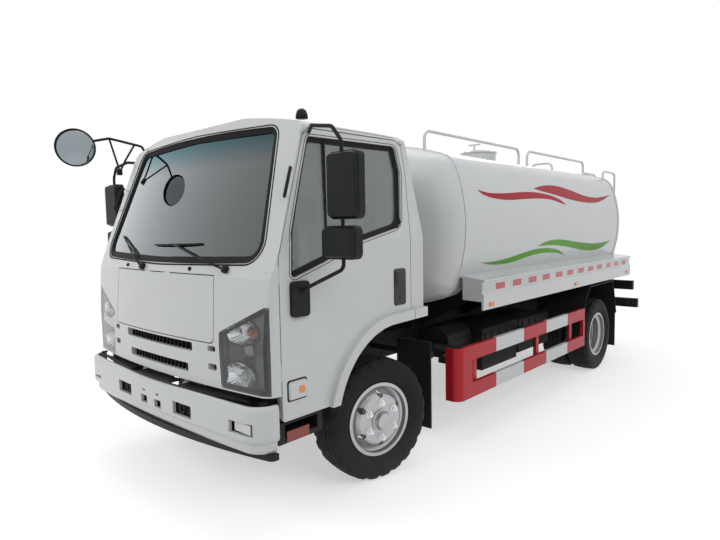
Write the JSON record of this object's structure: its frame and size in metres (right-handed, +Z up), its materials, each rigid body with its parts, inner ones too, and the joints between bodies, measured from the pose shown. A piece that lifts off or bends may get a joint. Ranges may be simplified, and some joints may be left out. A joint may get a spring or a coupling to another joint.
{
  "type": "tanker truck",
  "caption": "Light cab-over water tanker with tilting cab, opening doors, front lid and manhole lid, steered front wheels and twin rear wheels.",
  "frame": {"origin": "on the ground, at the middle of the truck's length and width", "axes": "front looks along -Y, +X points to the truck's left, +Z is up"},
  "size_m": [2.759, 6.0306, 2.4962],
  "materials": {
    "cab_paint": "gloss",
    "bumper_paint": "gloss",
    "tank_paint": "gloss",
    "guard_paint": "gloss",
    "frame_paint": "satin",
    "engine_metal": "matt",
    "knuckle_iron": "matt",
    "box_metal": "satin",
    "black_plastic": "matt",
    "flap_rubber": "matt",
    "lamp_lens": "gloss",
    "tail_lens": "gloss",
    "window_glass": "gloss",
    "seat_cloth": "matt",
    "dash_plastic": "matt",
    "rim_steel": "satin",
    "tyre_rubber": "matt"
  },
  "bodies": {
    "chassis": {"frame_rails": "frame_paint", "crossmembers": "frame_paint", "front_axle": "frame_paint", "rear_axle": "frame_paint", "leaf_springs": "frame_paint", "engine_block": "engine_metal", "front_bumper": "bumper_paint", "bumper_trim": "black_plastic", "fuel_tank": "box_metal", "side_boxes": "box_metal", "tank_subframe": "frame_paint", "water_tank": "tank_paint", "top_rails": "tank_paint", "ladder": "frame_paint", "skirts": "tank_paint", "side_guards": "guard_paint", "rear_guard": "frame_paint", "tail_lamps": "tail_lens", "mudguards": "flap_rubber"},
    "cab": {"cab_shell": "cab_paint", "cab_glass": "window_glass", "grille": "black_plastic", "headlamps": "lamp_lens", "seats": "seat_cloth", "dashboard": "dash_plastic", "front_mirror": "black_plastic", "cab_steps": "frame_paint"},
    "front_lid": {"front_lid": "cab_paint"},
    "manhole_lid": {"manhole_lid": "tank_paint"},
    "door_left": {"door_left": "cab_paint", "window_left": "window_glass", "mirror_left": "black_plastic"},
    "door_right": {"door_right": "cab_paint", "window_right": "window_glass", "mirror_right": "black_plastic"},
    "knuckle_left": {"knuckle_left": "knuckle_iron"},
    "knuckle_right": {"knuckle_right": "knuckle_iron"},
    "front_wheel_left": {"front_tyre_left": "tyre_rubber", "front_rim_left": "rim_steel"},
    "front_wheel_right": {"front_tyre_right": "tyre_rubber", "front_rim_right": "rim_steel"},
    "rear_wheels_left": {"rear_tyres_left": "tyre_rubber", "rear_rims_left": "rim_steel"},
    "rear_wheels_right": {"rear_tyres_right": "tyre_rubber", "rear_rims_right": "rim_steel"}
  },
  "joints": [
    {"name": "cab_tilt", "type": "hinge", "parent": "chassis", "child": "cab", "pos_m": [0, -2.828, 0.64], "axis": [1, 0, 0], "range_deg": [0, 45]},
    {"name": "front_lid_hinge", "type": "hinge", "parent": "cab", "child": "front_lid", "pos_m": [0, -2.809, 1.369], "axis": [-1, 0, 0], "range_deg": [0, 80]},
    {"name": "door_left_hinge", "type": "hinge", "parent": "cab", "child": "door_left", "pos_m": [0.996, -2.684, 1.13], "axis": [0, 0, -1], "range_deg": [0, 70]},
    {"name": "door_right_hinge", "type": "hinge", "parent": "cab", "child": "door_right", "pos_m": [-0.996, -2.684, 1.13], "axis": [0, 0, 1], "range_deg": [0, 70]},
    {"name": "manhole_hinge", "type": "hinge", "parent": "chassis", "child": "manhole_lid", "pos_m": [0, 1.239, 2.4063], "axis": [-1, 0, 0], "range_deg": [0, 100]},
    {"name": "steer_left", "type": "hinge", "parent": "chassis", "child": "knuckle_left", "pos_m": [0.78, -1.805, 0.391], "axis": [0, 0, 1], "range_deg": [-24, 48]},
    {"name": "steer_right", "type": "hinge", "parent": "chassis", "child": "knuckle_right", "pos_m": [-0.78, -1.805, 0.391], "axis": [0, 0, 1], "range_deg": [-24, 48]},
    {"name": "front_wheel_left_spin", "type": "hinge", "parent": "knuckle_left", "child": "front_wheel_left", "pos_m": [0.83869, -1.81747, 0.391], "axis": [0.9781, -0.2079, 0], "continuous": true},
    {"name": "front_wheel_right_spin", "type": "hinge", "parent": "knuckle_right", "child": "front_wheel_right", "pos_m": [-0.83869, -1.79252, 0.391], "axis": [0.9781, -0.2079, 0], "continuous": true},
    {"name": "rear_wheels_left_spin", "type": "hinge", "parent": "chassis", "child": "rear_wheels_left", "pos_m": [0.825, 1.745, 0.391], "axis": [1, 0, 0], "continuous": true},
    {"name": "rear_wheels_right_spin", "type": "hinge", "parent": "chassis", "child": "rear_wheels_right", "pos_m": [-0.825, 1.745, 0.391], "axis": [1, 0, 0], "continuous": true}
  ],
  "couplings": [
    {"joint": "steer_right", "follows": "steer_left", "ratio": 1}
  ]
}
